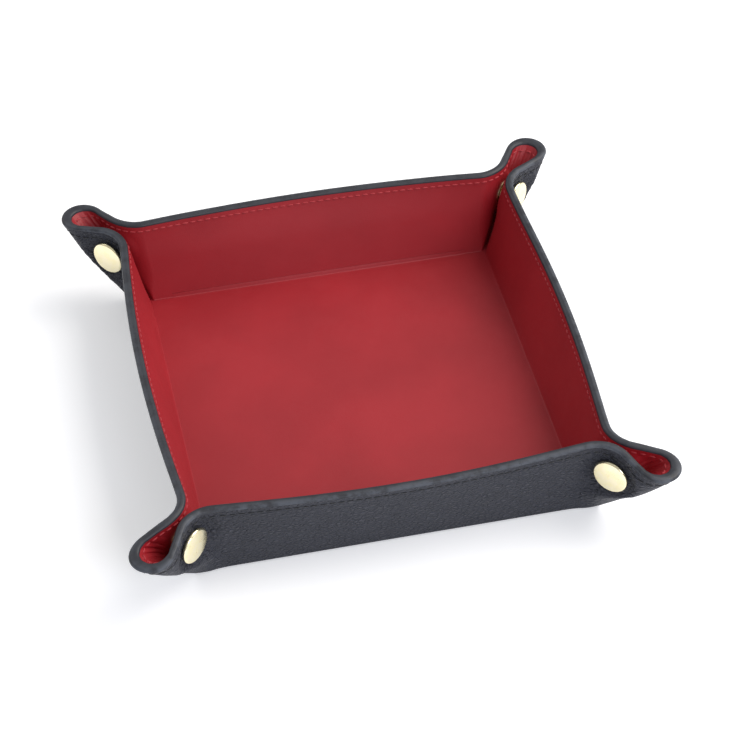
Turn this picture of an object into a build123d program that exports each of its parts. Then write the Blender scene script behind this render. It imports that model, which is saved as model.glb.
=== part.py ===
"""Square leather valet tray. A lined leather sheet is stiffened with card under the floor and in
the walls, and each corner is pinched into a standing loop by a press stud.
Undone, the studs let the walls and the corners fold out flat. Millimetres, floor on z = 0."""
import os
from math import acos, asin, atan2, cos, pi, radians, sin, sqrt, tan
from types import SimpleNamespace

from build123d import *

os.makedirs("parts", exist_ok=True)

# Leather: two sheets glued back to back
outer_thick = 1.75
lining_thick = 1.75
sheet_thick = outer_thick + lining_thick

# Floor and walls, measured on the outer faces
floor_side = 130.0
rim_height = 32.0
wall_lean = 74.0

# Stiffening card, let into both leathers
board_thick = 1.2
floor_board_margin = 4.5
wall_board_foot = 5.2
wall_board_rim_margin = 5.0
wall_board_end_margin = 2.0

# Pinched corner. The first value of each pair is at the floor and the second at the rim. A loop's
# overhang is how far its tip stands out beyond the corner that the walls' outer faces would make.
pinch_gap = 1.6
bend_radii = (4.6, 13.6)
flare_radii = (4.2, 12.8)
loop_radii = (1.1, 4.2)
loop_overhangs = (4.28, 18.9)

# Lines that the leather creases along when a corner is opened. Each starts at a foot on the
# floor, so far in from the floor's corner and so far across the diagonal, and ends on the rim at
# a share of its arc.
bend_crease_foot = (5.52, 2.75)
loop_crease_foot = (4.17, 2.45)
bend_crease_share = 0.5
loop_crease_share = 0.61
bend_fold = 56.0
loop_fold = 96.6

# Running clearances
crease_gap = 0.3
floor_gap = 0.2
seam_gap = 0.3
sweep_clearance = 0.9
opening_clearance = 2.0

# Press stud: cap and socket on one flank, post and stud on the other. Its axis lies so far under
# the rim and so far in from the corner that the walls' outer faces would make at the rim.
stud_drop = 10.5
stud_inset = 3.1
rivet_radius = 1.6
rivet_hole_radius = 1.7
cap_radius = 6.2
cap_lip = 0.7
cap_height = 2.2
cap_seat = 0.1
cap_clearance = 0.2
socket_radius = 5.0
socket_height = 1.55
socket_sink = 1.0
mouth_radius = 2.35
mouth_depth = 1.25
flange_radius = 4.6
flange_height = 0.8
flange_sink = 0.55
knob_radius = 2.0
knob_neck_radius = 1.7
knob_height = 1.15
post_head_radius = 4.7
post_head_height = 1.1
post_seat = 0.3
rivet_head_height = 0.35

# Domed faces of a stud, as shares of a radius and of a height
cap_crown_share = 1 / 2
cap_shoulder_share = 5 / 6
cap_crown_drop_share = 1 / 4
post_shoulder_share = 3 / 4

# Tool lengths for cuts that run past the leather
overrun = 6.0
crease_reach = 40.0

half_turn = 180.0
quarter_turn = 90.0
half_floor = floor_side / 2
seam_half = seam_gap / 2
crease_half = crease_gap / 2
mitre_angle = wall_lean / 2
inner_half_floor = half_floor - sheet_thick * tan(radians(mitre_angle))

wall_normals = {"right": 0.0, "rear": 90.0, "left": 180.0, "front": 270.0}
corners = {"rear_right": 45.0, "rear_left": 135.0, "front_left": 225.0, "front_right": 315.0}
cap_walls = {"rear_right": "right", "rear_left": "left", "front_left": "front", "front_right": "front"}


def between(pair, height):
    """A size that changes evenly from the floor to the rim."""
    return pair[0] + (pair[1] - pair[0]) * height / rim_height


def wall_offset(height, depth):
    """Distance from the tray's axis to a wall's layer that lies at a depth under the outer face."""
    return half_floor + height / tan(radians(wall_lean)) - depth / sin(radians(wall_lean))


def corner_reach(height):
    """Distance along a diagonal to the corner that the walls' outer faces would make."""
    return wall_offset(height, 0) * sqrt(2)


def loop_reach(height):
    """Distance along a diagonal to the tip of the loop's outer face."""
    return corner_reach(height) + between(loop_overhangs, height)


stud_height = rim_height - stud_drop
stud_reach = corner_reach(rim_height) - stud_inset
ridge_angle = atan2(rim_height, loop_reach(rim_height) - loop_reach(0))


def corner_plan(height, depth):
    """Radii of the arcs of a pinched corner, and where their centres lie along its diagonal."""
    inner = sheet_thick - depth
    bend = between(bend_radii, height) - inner
    flare = between(flare_radii, height) - inner
    loop = between(loop_radii, height) + inner
    pinch = pinch_gap / 2 + inner
    loop_centre = loop_reach(height) - depth / sin(ridge_angle) - loop
    return SimpleNamespace(
        bend=bend,
        flare=flare,
        loop=loop,
        pinch=pinch,
        bend_centre=wall_offset(height, depth) * sqrt(2) + (sqrt(2) - 1) * bend - pinch,
        flare_centre=loop_centre - sqrt((flare + loop) ** 2 - (pinch + flare) ** 2),
        loop_centre=loop_centre,
        turn=acos((pinch + flare) / (flare + loop)),
    )


def spot(corner, side, along, across):
    """Point on the plan, from a distance along a corner's diagonal and one to its side."""
    angle = radians(corners[corner])
    shift = side * across
    return (along * cos(angle) - shift * sin(angle), along * sin(angle) + shift * cos(angle))


def bend_spot(corner, side, height, depth, share):
    """Point on the arc that leads from a wall to the pinch."""
    plan = corner_plan(height, depth)
    angle = (1 - share) * pi / 4
    along = plan.bend_centre - plan.bend * sin(angle)
    return spot(corner, side, along, plan.pinch + plan.bend - plan.bend * cos(angle))


def flare_spot(corner, side, height, depth, share):
    """Point on the arc that leads away from the pinch."""
    plan = corner_plan(height, depth)
    angle = share * plan.turn
    along = plan.flare_centre + plan.flare * sin(angle)
    return spot(corner, side, along, plan.pinch + plan.flare - plan.flare * cos(angle))


def loop_spot(corner, side, height, depth, share):
    """Point on the round end of the loop, up to the seam on the diagonal."""
    plan = corner_plan(height, depth)
    seam = asin(seam_half / plan.loop)
    angle = seam + (1 - share) * (pi / 2 + plan.turn - seam)
    return spot(corner, side, plan.loop_centre + plan.loop * cos(angle), plan.loop * sin(angle))


def ear_run(corner, side, height, depth):
    """Points along one layer of a pinched corner's half: bend, leg, flare and loop."""
    points = [bend_spot(corner, side, height, depth, share) for share in (0, 1 / 2, 1)]
    points += [flare_spot(corner, side, height, depth, share) for share in (0, 1 / 2, 1)]
    points += [loop_spot(corner, side, height, depth, share) for share in (1 / 2, 1)]
    return points


def ear_layer(corner, side, near, far):
    """One leather layer of a pinched corner's half, before it is parted at the creases."""
    with BuildPart() as layer:
        for height in (0, rim_height):
            front = ear_run(corner, side, height, near)
            back = ear_run(corner, side, height, far)
            with BuildSketch(Plane.XY.offset(height)):
                with BuildLine():
                    ThreePointArc(front[0], front[1], front[2])
                    Line(front[2], front[3])
                    ThreePointArc(front[3], front[4], front[5])
                    ThreePointArc(front[5], front[6], front[7])
                    Line(front[7], back[7])
                    ThreePointArc(back[7], back[6], back[5])
                    ThreePointArc(back[5], back[4], back[3])
                    Line(back[3], back[2])
                    ThreePointArc(back[2], back[1], back[0])
                    Line(back[0], front[0])
                make_face()
        loft(ruled=True)
    return layer.part


def crease_line(corner, side, crease):
    """Foot and top of a corner's crease, as points in space."""
    if crease == "bend":
        inset, across = bend_crease_foot
        top = bend_spot(corner, side, rim_height, sheet_thick, bend_crease_share)
    else:
        inset, across = loop_crease_foot
        top = loop_spot(corner, side, rim_height, 0, loop_crease_share)
    foot = spot(corner, side, corner_reach(0) - inset, across)
    return Vector(*foot, 0), Vector(*top, rim_height)


def crease_cut(corner, side, crease, beyond):
    """Everything on one side of a crease. It leaves a groove on the side that closes up."""
    foot, top = crease_line(corner, side, crease)
    middle = (foot + top) * (1 / 2)
    upward = (top - foot).normalized()
    plan = corner_plan(middle.Z, 0)
    if crease == "bend":
        centre = Vector(*spot(corner, side, plan.bend_centre, plan.pinch + plan.bend), middle.Z)
        fold = bend_fold
        sense = -side
    else:
        centre = Vector(*spot(corner, side, plan.loop_centre, 0), middle.Z)
        fold = loop_fold
        sense = side
    forward = (middle - centre).cross(upward).normalized() * sense
    closing = upward.cross(forward).normalized() * sense
    step = forward if beyond else forward * -1
    slant = radians(fold / 2)
    corners_of_cut = [
        step * -crease_half - closing * crease_reach,
        step * -crease_half,
        step * (-crease_half - crease_reach * sin(slant)) + closing * (crease_reach * cos(slant)),
        (step + closing) * crease_reach,
        (step - closing) * crease_reach,
    ]
    tool_plane = Plane(origin=middle - upward * crease_reach, x_dir=forward, z_dir=upward)
    outline = [tool_plane.to_local_coords(tool_plane.origin + corner_of_cut) for corner_of_cut in corners_of_cut]
    with BuildPart() as tool:
        with BuildSketch(tool_plane):
            with BuildLine():
                Polyline(*outline, close=True)
            make_face()
        extrude(amount=2 * crease_reach)
    return tool.part


def turned(point, normal):
    """Point given along and out from a wall's middle, turned to that wall."""
    angle = radians(normal - quarter_turn)
    return (point[0] * cos(angle) - point[1] * sin(angle), point[0] * sin(angle) + point[1] * cos(angle))


def wall_run(height, depth, normal):
    """Points along one layer of a wall, from the crease at one corner to the crease at the other."""
    half = [bend_spot("rear_right", 1, height, depth, share) for share in (1, 1 / 2, 0)]
    points = half + [(-x, y) for x, y in reversed(half)]
    return [turned(point, normal) for point in points]


def floor_cut(normal):
    """Everything on the floor's side of a wall's mitre, for the leather that stands on that wall."""
    run = overrun * tan(radians(mitre_angle))
    rise = sheet_thick + floor_gap
    top = half_floor + crease_half - rise * tan(radians(mitre_angle))
    angle = radians(normal)
    outward = Vector(cos(angle), sin(angle), 0)
    with BuildPart() as tool:
        with BuildSketch(Plane(origin=(0, 0, 0), x_dir=outward, z_dir=Vector(sin(angle), -cos(angle), 0))):
            with BuildLine():
                Polyline((0, -overrun), (half_floor + crease_half + run, -overrun), (top, rise), (0, rise),
                         close=True)
            make_face()
        extrude(amount=loop_reach(rim_height), both=True)
    return tool.part


def wall_board_solid(normal):
    """The card in one wall: it stops short of the crease, the rim and the bends."""
    top_height = rim_height - wall_board_rim_margin
    near = outer_thick - board_thick / 2
    far = outer_thick + board_thick / 2
    with BuildPart() as board:
        for height in (wall_board_foot, top_height):
            end = bend_spot("rear_right", 1, height, 0, 0)[0] - wall_board_end_margin
            with BuildSketch(Plane.XY.offset(height)):
                with BuildLine():
                    outline = [(-end, wall_offset(height, near)), (end, wall_offset(height, near)),
                               (end, wall_offset(height, far)), (-end, wall_offset(height, far))]
                    Polyline(*[turned(point, normal) for point in outline], close=True)
                make_face()
        loft(ruled=True)
    return board.part


def snap_plane(corner, side, across):
    """Plane square to a press stud's axis. Its normal points away from the diagonal."""
    x, y = spot(corner, side, stud_reach, across)
    angle = radians(corners[corner])
    normal = Vector(-sin(angle) * side, cos(angle) * side, 0)
    return Plane(origin=(x, y, stud_height), x_dir=Vector(0, 0, 1), z_dir=normal)


def turned_piece(corner, side, across, outline):
    """Solid of revolution about a press stud's axis. Each point is a radius and a distance out."""
    base = snap_plane(corner, side, across)
    profile_plane = Plane(origin=base.origin, x_dir=base.x_dir, z_dir=base.x_dir.cross(base.z_dir))
    with BuildPart() as piece:
        with BuildSketch(profile_plane):
            with BuildLine():
                Polyline(*outline, close=True)
            make_face()
        revolve(axis=Axis(base.origin, base.z_dir))
    return piece.part


def disc_cut(corner, side, across, radius, start, end):
    """Round hole or seat about a press stud's axis."""
    return turned_piece(corner, side, across, [(0, start), (radius, start), (radius, end), (0, end)])


def wall_beside(corner, side):
    """The wall on one side of a corner's diagonal."""
    normal = (corners[corner] + side * quarter_turn / 2) % (2 * half_turn)
    return next(wall for wall, angle in wall_normals.items() if angle == normal)


outer_face = pinch_gap / 2 + sheet_thick
lining_face = pinch_gap / 2
halves = [(corner, side, wall_beside(corner, side)) for corner in corners for side in (1, -1)]

# Base
base_layers = {"base_outer": (0, outer_thick), "base_lining": (outer_thick, lining_thick)}
board_bottom = outer_thick - board_thick / 2
board_side = 2 * (inner_half_floor - floor_board_margin)

with BuildPart() as base_board:
    with BuildSketch(Plane.XY.offset(board_bottom)):
        Rectangle(board_side, board_side)
    extrude(amount=board_thick)
base_board.part.label = "base_board"
export_step(base_board.part, "parts/base_board.step")

for name, (bottom, thick) in base_layers.items():
    side_at_bottom = 2 * (half_floor - crease_half - bottom * tan(radians(mitre_angle)))
    with BuildPart() as base_layer:
        with BuildSketch(Plane.XY.offset(bottom)):
            Rectangle(side_at_bottom, side_at_bottom)
        extrude(amount=thick, taper=mitre_angle)
        add(base_board.part, mode=Mode.SUBTRACT)
    base_layer.part.label = name
    export_step(base_layer.part, f"parts/{name}.step")

# Walls. Each runs on into the bends at its ends, and is cut back where a cap passes it.
layers = {"outer": (0, outer_thick), "lining": (outer_thick, sheet_thick)}
seat_radius = cap_radius + cap_clearance
swept_radius = cap_radius + sweep_clearance
opening_radius = cap_radius + opening_clearance
swept_outline = [
    (0, -sheet_thick),
    (swept_radius, -sheet_thick),
    (swept_radius, 0),
    (opening_radius, 0),
    (opening_radius, overrun),
    (0, overrun),
]

for wall, normal in wall_normals.items():
    wall_board = wall_board_solid(normal)
    wall_board.label = f"{wall}_board"
    export_step(wall_board, f"parts/{wall}_board.step")
    cuts = [floor_cut(normal), wall_board]
    for corner, side, beside in halves:
        if beside == wall:
            cuts.append(crease_cut(corner, side, "bend", True))
            if cap_walls[corner] == wall:
                cuts.append(disc_cut(corner, side, outer_face, swept_radius, -sweep_clearance, overrun))
    for layer, (near, far) in layers.items():
        with BuildPart() as wall_layer:
            for height in (0, rim_height):
                front = wall_run(height, near, normal)
                back = wall_run(height, far, normal)
                with BuildSketch(Plane.XY.offset(height)):
                    with BuildLine():
                        ThreePointArc(front[0], front[1], front[2])
                        Line(front[2], front[3])
                        ThreePointArc(front[3], front[4], front[5])
                        Line(front[5], back[5])
                        ThreePointArc(back[5], back[4], back[3])
                        Line(back[3], back[2])
                        ThreePointArc(back[2], back[1], back[0])
                        Line(back[0], front[0])
                    make_face()
            loft(ruled=True)
            for cut in cuts:
                add(cut, mode=Mode.SUBTRACT)
        wall_layer.part.label = f"{wall}_{layer}"
        export_step(wall_layer.part, f"parts/{wall}_{layer}.step")

# Corners: a flank on each wall's end and a tip that closes the loop on the diagonal
for corner, side, wall in halves:
    stem = f"{corner}_{wall}"
    mitre = floor_cut(wall_normals[wall])
    hole = disc_cut(corner, side, outer_face, rivet_hole_radius, -sheet_thick - overrun / 2, overrun)
    if cap_walls[corner] == wall:
        outer_seat = disc_cut(corner, side, outer_face, seat_radius, -cap_seat, overrun)
        swept_seat = turned_piece(corner, side, outer_face, swept_outline)
        lining_seat = disc_cut(corner, side, lining_face, socket_radius, -overrun / 2, socket_sink)
    else:
        outer_seat = disc_cut(corner, side, outer_face, post_head_radius, -post_seat, overrun)
        swept_seat = outer_seat
        lining_seat = disc_cut(corner, side, lining_face, flange_radius, -overrun / 2, flange_sink)
    ears = {layer: ear_layer(corner, side, near, far) for layer, (near, far) in layers.items()}
    flank_cuts = [mitre, crease_cut(corner, side, "bend", False), crease_cut(corner, side, "loop", True)]
    flank_cuts += [hole, outer_seat]
    for layer, ear in ears.items():
        with BuildPart() as flank:
            add(ear)
            for cut in flank_cuts:
                add(cut, mode=Mode.SUBTRACT)
            if layer == "lining":
                add(lining_seat, mode=Mode.SUBTRACT)
        flank.part.label = f"{stem}_flank_{layer}"
        export_step(flank.part, f"parts/{stem}_flank_{layer}.step")
    with BuildPart() as tip:
        for ear in ears.values():
            add(ear)
        for cut in (mitre, crease_cut(corner, side, "loop", False), swept_seat):
            add(cut, mode=Mode.SUBTRACT)
    tip.part.label = f"{stem}_tip"
    export_step(tip.part, f"parts/{stem}_tip.step")

# Press studs. A cap's rivet runs through the leather into the socket, and a post into the stud.
cap_top = cap_height - cap_seat
cap_rivet_end = socket_sink - sheet_thick - rivet_head_height
socket_end = socket_sink - socket_height
mouth_end = socket_end + mouth_depth - rivet_head_height
flange_end = flange_sink - flange_height
knob_end = flange_end - knob_height
bore_radius = rivet_radius / 2
post_end = flange_sink - sheet_thick
post_top = post_head_height - post_seat

cap_outline = [
    (0, cap_top),
    (cap_radius * cap_crown_share, cap_top - cap_lip * cap_crown_drop_share),
    (cap_radius * cap_shoulder_share, cap_top - cap_lip),
    (cap_radius, cap_lip - cap_seat),
    (cap_radius, -cap_seat),
    (rivet_radius, -cap_seat),
    (rivet_radius, cap_rivet_end),
    (0, cap_rivet_end),
]
socket_outline = [
    (rivet_radius, socket_sink),
    (socket_radius, socket_sink),
    (socket_radius, socket_end),
    (mouth_radius, socket_end),
    (mouth_radius, mouth_end),
    (rivet_radius, mouth_end),
]
stud_outline = [
    (bore_radius, flange_sink),
    (flange_radius, flange_sink),
    (flange_radius, flange_end),
    (knob_neck_radius, flange_end),
    (knob_radius, (flange_end + knob_end) / 2),
    (knob_neck_radius, knob_end),
    (bore_radius, knob_end),
]
post_outline = [
    (0, post_top),
    (post_head_radius * post_shoulder_share, post_head_height * post_shoulder_share - post_seat),
    (post_head_radius, -post_seat),
    (rivet_radius, -post_seat),
    (rivet_radius, post_end),
    (0, post_end),
]

for corner, side, wall in halves:
    if cap_walls[corner] == wall:
        pieces = {"cap": (outer_face, cap_outline), "socket": (lining_face, socket_outline)}
    else:
        pieces = {"stud": (lining_face, stud_outline), "post": (outer_face, post_outline)}
    for piece_name, (across, outline) in pieces.items():
        piece = turned_piece(corner, side, across, outline)
        piece.label = f"{corner}_{piece_name}"
        export_step(piece, f"parts/{corner}_{piece_name}.step")
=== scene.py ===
# %% [markdown]
# # A leather valet tray
# The measured frame gives every body, hinge and hard piece in its right place. This notebook
# dresses that frame: two glued leathers bend through four pinched corners, thread runs round the
# rim, the cut edge is painted, and brass press studs hold the corners shut.
# Each cell does one thing. Run them in order.

from math import asin, atan2, cos, pi, radians, sin, sqrt, tan

import bpy
import numpy as np
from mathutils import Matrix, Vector

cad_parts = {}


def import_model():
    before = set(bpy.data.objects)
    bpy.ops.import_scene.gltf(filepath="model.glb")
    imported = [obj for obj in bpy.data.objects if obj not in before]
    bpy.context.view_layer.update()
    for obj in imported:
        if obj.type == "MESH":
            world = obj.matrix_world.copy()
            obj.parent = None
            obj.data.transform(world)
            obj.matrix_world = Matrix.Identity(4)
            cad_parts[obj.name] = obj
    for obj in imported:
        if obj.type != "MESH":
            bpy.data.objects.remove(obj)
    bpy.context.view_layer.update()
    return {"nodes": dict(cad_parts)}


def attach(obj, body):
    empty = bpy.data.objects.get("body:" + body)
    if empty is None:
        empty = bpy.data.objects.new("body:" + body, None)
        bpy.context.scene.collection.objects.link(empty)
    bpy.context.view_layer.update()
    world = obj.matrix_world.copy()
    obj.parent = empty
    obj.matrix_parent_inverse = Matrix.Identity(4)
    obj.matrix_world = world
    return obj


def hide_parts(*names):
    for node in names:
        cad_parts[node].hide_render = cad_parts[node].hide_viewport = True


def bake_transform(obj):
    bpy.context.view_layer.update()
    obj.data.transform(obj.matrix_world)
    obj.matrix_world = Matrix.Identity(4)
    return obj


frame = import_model()
MM = 0.001

# %% [markdown]
# ## Sizes
# These are the sizes of the real tray, in millimetres, as they stand in the part's source. Only
# sizes that the leather's own softness adds, such as a wall's slight bow, are new here.

# %% Sizes
SHEET = 3.5          # both leathers glued together
HALF_FLOOR = 65.0
RIM = 32.0
LEAN = radians(74)
PINCH = 0.8          # half the gap between the linings where a stud grips them
SKIVE = 0.36         # each leather is pared this much thinner towards the rim
BEND_RADII = (4.6, 13.6)                # at the floor and at the rim, as in the next three
FLARE_RADII = (4.2, 13.6)
LOOP_RADII = (1.1, 4.2)
LOOP_REACH = (96.2, 123.8)
BEND_FOOT, LOOP_FOOT = (86.4, 2.75), (87.75, 2.45)
BEND_SHARE, LOOP_SHARE = 0.5, 0.61
STUD_HEIGHT, STUD_REACH = 21.5, 101.8
CAP_RADIUS, POST_RADIUS = 6.2, 4.7
RIDGE = atan2(RIM, LOOP_REACH[1] - LOOP_REACH[0])
CORNERS = {"rear_right": 45, "rear_left": 135, "front_left": 225, "front_right": 315}
WALLS = {"right": 0, "rear": 90, "left": 180, "front": 270}
CAP_WALLS = {"rear_right": "right", "rear_left": "left",
             "front_left": "front", "front_right": "front"}
print("tray", 2 * HALF_FLOOR, "mm square at the foot,", RIM, "mm high")

# %% Softness of the leather
RIDGE_BELLY = 1.5    # the ridge of each loop rounds out between foot and tip
PULL = 2.0           # how far a stud draws each end of a rim inward
BELLY = 3.1          # how far the rim bellies out again at its middle
LEAN_OUT = {"front": 0.0, "rear": 1.4, "left": 0.3, "right": 0.0}
MID_LIFT = {"front": -0.7, "rear": 0.9, "left": 0.0, "right": 0.0}
END_LIFT = {("front_right", "front"): 0.9, ("rear_left", "rear"): 0.9, ("rear_right", "rear"): 0.9}
END_OUT = {("rear_left", "rear"): 1.3, ("rear_right", "rear"): 1.1, ("rear_right", "right"): 0.9}
TIP_DROOP = {"front_left": 3.2, "front_right": 1.8, "rear_left": 1.6, "rear_right": 0.1}
TIP_REACH = {"front_left": 1.9, "front_right": 1.0, "rear_left": 1.2, "rear_right": 1.6}
FOOT_BULGE = 3.0     # card and glue fill out the foot of a wall
FOOT_ROUND = {0.0: 2.0, SHEET: 0.3}     # outer leather round the foot, lining in the crease
SEAM_ROUND = 6.0     # plain corner of the outer leather at the floor
print("a rim bellies out", BELLY, "mm at its middle")

# %% [markdown]
# ## Small tools
# A colour is written as the hex value that is read off the real thing, and one function
# turns it into the linear value that the renderer wants. One more adds a shader node.

# %% Small tools
def hex_colour(code):
    """sRGB hex to linear RGBA."""
    parts = [int(code[i:i + 2], 16) / 255 for i in (1, 3, 5)]
    return [c / 12.92 if c <= 0.04045 else ((c + 0.055) / 1.055) ** 2.4 for c in parts] + [1.0]


def add_node(tree, kind, inputs=(), links=(), **settings):
    """Adds one node, sets its sockets by name or number and links them."""
    node = tree.nodes.new(kind)
    for name, value in settings.items():
        setattr(node, name, value)
    for name, value in dict(inputs).items():
        node.inputs[name].default_value = value
    for name, source in dict(links).items():
        tree.links.new(source, node.inputs[name])
    return node


def new_material(name):
    """An empty material and its node tree."""
    material = bpy.data.materials.new(name)
    material.use_nodes = True
    material.node_tree.nodes.clear()
    return material, material.node_tree


def smooth(t):
    """An S-shaped step from 0 to 1."""
    t = np.clip(t, 0, 1)
    return t * t * (3 - 2 * t)


def fade(value, span):
    """The same step, from the span's first number over a width of its second."""
    return smooth((value - span[0]) / span[1])


def between(pair, z):
    """A size at one height, from its values at the floor and at the rim."""
    return pair[0] + (pair[1] - pair[0]) * z / RIM


print("white is", [round(c, 2) for c in hex_colour("#ffffff")])

# %% [markdown]
# ## Layers of a wall
# A wall's sheet is pared towards the rim. Its outer face bulges at the foot, where card and glue
# fill it out, and each layer turns into the floor with its own radius. Depth counts from the
# outer face (0) to the lining's face.

# %% Layers of a wall
PARING = (18, 12)                       # it begins at the first height and grows over the second
BULGE_TOP, BULGE_FALL = 26, 1.6         # where the foot's bulge ends, and how fast it falls off
PULL_GROWTH = 1.5


def pared(z):
    """How much thinner one leather is at this height."""
    return SKIVE * fade(z, PARING)


def skived(z, depth):
    """A layer's depth with the sheet pared towards the rim."""
    return depth + pared(z) * (1 - 2 * depth / SHEET)


def wall_offset(z, depth):
    """How far out a layer of the wall lies, near its ends."""
    bulge = FOOT_BULGE * (1 - min(z / BULGE_TOP, 1)) ** BULGE_FALL if depth == 0 else 0
    depth = skived(z, depth)
    pull = PULL * (z / RIM) ** PULL_GROWTH
    return HALF_FLOOR + z / tan(LEAN) - depth / sin(LEAN) - pull + bulge


def wall_foot(z, depth):
    """The same with the layer's rounded turn into the floor."""
    radius = FOOT_ROUND.get(depth, 0)
    up = z - depth
    if not radius or up >= radius * (1 - cos(LEAN)):
        return wall_offset(z, depth)
    turned = sqrt(radius ** 2 - (radius - max(up, 0)) ** 2)
    return wall_offset(depth, depth) - radius * tan(LEAN / 2) + turned


print("the rim's outer face lies", round(float(wall_offset(RIM, 0)), 1), "mm out")

# %% [markdown]
# ## The shape of a pinched corner
# Seen from above, each layer of leather runs along the wall, bends outward round an arc that
# touches the diagonal where the stud grips, opens again in a straight taper, and closes in a round
# nose. Every arc grows from the floor to the rim. `outline` walks along that line at one height.

# %% Arcs of a corner
TIGHT_START, TIGHT_OVER = 0.1, 10       # at its foot the lining's bend has this share of its radius
LEAST_RUN, LEAST_TAPER = 0.5, 0.02      # these keep the taper real where two arcs nearly meet


def corner_plan(z, depth):
    """Radii, centres and taper of a pinched corner."""
    w = wall_foot(z, depth)
    round_out = RIDGE_BELLY * sin(pi * z / RIM) if depth == 0 else 0
    tight = 1
    if depth == SHEET:
        tight = TIGHT_START + (1 - TIGHT_START) * smooth((z - SHEET) / TIGHT_OVER)
    depth = skived(z, depth)
    inner = SHEET - depth
    bend, flare = (between(BEND_RADII, z) - inner) * tight, between(FLARE_RADII, z) - inner
    loop, pinch = between(LOOP_RADII, z) + inner, PINCH - pared(z) + inner
    loop_at = between(LOOP_REACH, z) + round_out - depth / sin(RIDGE) - loop
    bend_at = w * sqrt(2) + (sqrt(2) - 1) * bend - pinch
    run, rise = max(loop_at - bend_at, LEAST_RUN), pinch + flare
    opening = asin(min(1, (loop + flare) / sqrt(run * run + rise * rise)))
    taper = max(opening - atan2(rise, run), LEAST_TAPER)
    return bend, flare, loop, pinch, bend_at, loop_at, taper


print("bend radius at the rim", round(float(corner_plan(RIM, 0)[0]), 1), "mm")

# %% Corner outline
BEND_PAD = 7.0       # wall that goes with the bend, so that it can ease into it
COUNTS = (56, 8, 16, 8, 12, 30)         # points on wall, pad, bend, flare, taper and loop
KNOTS = np.cumsum([count - 1 for count in COUNTS])
WALL_END = KNOTS[0]                     # last column of the wall's own piece
TAPER_MIDDLE = int(KNOTS[2]) + 3        # where bend piece and loop piece meet
LAST = KNOTS[-1]
TIP_DRAW = 3         # how late the plain corner is drawn out to its tip
PINCHING = (1.0, 16.0)                  # the pinch sets in over these heights


def along_wall(first, last, w, count):
    """Points of a straight wall, along and across the corner's diagonal."""
    return [((x + w) / sqrt(2), (w - x) / sqrt(2)) for x in np.linspace(first, last, count)]


def pinched_run(z, depth):
    """Along and across the diagonal, from the wall's middle to the closing line of the loop."""
    bend, flare, loop, pinch, bend_at, loop_at, taper = corner_plan(z, depth)
    w = wall_foot(z, depth)
    start = ((bend_at - bend * sin(pi / 4)) - (pinch + bend - bend * cos(pi / 4))) / sqrt(2)
    runs = [along_wall(0, start - BEND_PAD, w, COUNTS[0]),
            along_wall(start - BEND_PAD, start, w, COUNTS[1]),
            [(bend_at - bend * sin(a), pinch + bend - bend * cos(a))
             for a in np.linspace(pi / 4, 0, COUNTS[2])],
            [(bend_at + flare * sin(a), pinch + flare - flare * cos(a))
             for a in np.linspace(0, taper, COUNTS[3])]]
    near, far = runs[-1][-1], (loop_at - loop * sin(taper), loop * cos(taper))
    runs.append([(near[0] + (far[0] - near[0]) * t, near[1] + (far[1] - near[1]) * t)
                 for t in np.linspace(0, 1, COUNTS[4])])
    runs.append([(loop_at + loop * cos(a), loop * sin(a))
                 for a in np.linspace(pi / 2 + taper, 0, COUNTS[5])])
    points = list(runs[0])
    for run in runs[1:]:
        points += run[1:]
    return np.array(points), start


def square_run(z, depth, start, tip):
    """The same columns round a plain rounded corner, drawn out along the ridge to its tip."""
    w, radius = wall_foot(z, depth), SEAM_ROUND
    x = np.linspace(0, start - BEND_PAD, COUNTS[0])
    length = (w - radius) - (start - BEND_PAD) + radius * pi / 4
    s = np.linspace(0, length, LAST - WALL_END + 1)[1:]
    straight = np.minimum(s, length - radius * pi / 4)
    angle = (s - straight) / radius
    px = np.concatenate([x, (start - BEND_PAD) + straight + radius * np.sin(angle)])
    py = np.concatenate([np.full(COUNTS[0], w), w - radius * (1 - np.cos(angle))])
    run = np.stack([(px + py) / sqrt(2), (py - px) / sqrt(2)], axis=1)
    if depth == 0:
        share = np.clip(np.arange(LAST - WALL_END + 1) / (LAST - WALL_END), 0, 1)
        run[WALL_END:, 0] += (tip - run[-1, 0]) * share ** TIP_DRAW
    return run


def outline(z, depth):
    """The pinch fades out towards the floor, where the corner is plain."""
    pinched, start = pinched_run(z, depth)
    share = fade(z, PINCHING) if depth < SHEET else 1
    if share >= 1:
        return pinched
    plain = square_run(z, depth, start, pinched[-1, 0])
    return plain + (pinched - plain) * share


print("columns", LAST + 1, "wall ends at", WALL_END, "pieces meet at", TAPER_MIDDLE)

# %% [markdown]
# ## Softness
# Real leather is never ruled. The rim bellies out and the tips droop, the sheet is squeezed flat
# under a stud's cap and gathers in radial puckers round it, and the lining wrinkles in the loop.
# Each effect moves points of the ideal outline by a small amount.

# %% Bow, puckers and gathers
BOWED_HALF = 62.0    # half length of the part of a wall that bows
BOW_ROUND, LEAN_ROUND, BOW_GROWTH = 1.25, 6, 1.4


def wall_belly(along, z, wall):
    """How far the wall bows out, from its middle (0) to its ends (1)."""
    bow = BELLY * (1 - along ** 2) ** BOW_ROUND + LEAN_OUT[wall] * (1 - along ** LEAN_ROUND)
    return bow * (z / RIM) ** BOW_GROWTH


def puckers(angle):
    """Radial waves round a stud: broad ones that wander, and fine ones between them."""
    broad = 0.11 * np.cos(17 * angle + 1.6 * np.sin(3 * angle))
    return broad + 0.08 * np.cos(29 * angle + 0.7)


def gathers(column, z):
    """Wrinkles of the lining in a loop, which wander with height."""
    broad = 0.20 * np.cos(0.85 * column + 0.9 * np.sin(0.35 * z))
    return broad + 0.09 * np.cos(1.9 * column + 0.5 * np.sin(0.6 * z))


print("a rear rim bows", round(float(wall_belly(0.0, RIM, "rear")), 1), "mm at its middle")

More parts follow.
